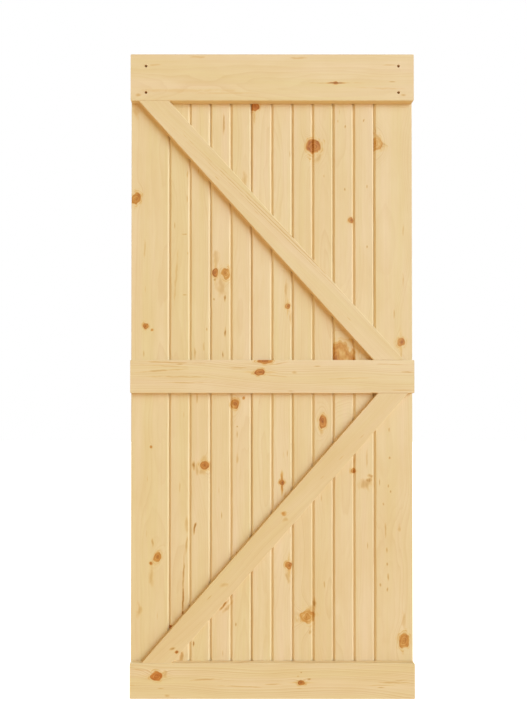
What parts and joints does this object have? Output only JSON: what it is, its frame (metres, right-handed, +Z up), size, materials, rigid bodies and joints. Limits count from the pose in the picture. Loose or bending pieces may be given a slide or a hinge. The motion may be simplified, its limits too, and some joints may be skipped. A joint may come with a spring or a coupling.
{
  "type": "sliding barn door",
  "caption": "Sliding barn door slab of knotty pine: upright tongued boards with V grooves, framed on the front by horizontal rails and diagonal braces, with holes for hanger straps.",
  "frame": {"origin": "middle of the door's bottom edge, halfway through its thickness", "axes": "+X to the right seen from the front, -Y out of the framed front, +Z up"},
  "size_m": [0.94, 0.035, 2.134],
  "materials": {
    "board_pine": "planed and sanded, unfinished",
    "frame_pine": "planed and sanded, unfinished",
    "screw_steel": "zinc plated"
  },
  "bodies": {
    "root": {"top_rail": "frame_pine", "middle_rail": "frame_pine", "bottom_rail": "frame_pine", "upper_brace": "frame_pine", "lower_brace": "frame_pine", "edge_board_left": "board_pine", "plank_1": "board_pine", "plank_2": "board_pine", "plank_3": "board_pine", "plank_4": "board_pine", "plank_5": "board_pine", "edge_board_right": "board_pine", "top_rail_screws": "screw_steel", "middle_rail_screws": "screw_steel", "bottom_rail_screws": "screw_steel", "upper_brace_screws": "screw_steel", "lower_brace_screws": "screw_steel"}
  },
  "joints": []
}
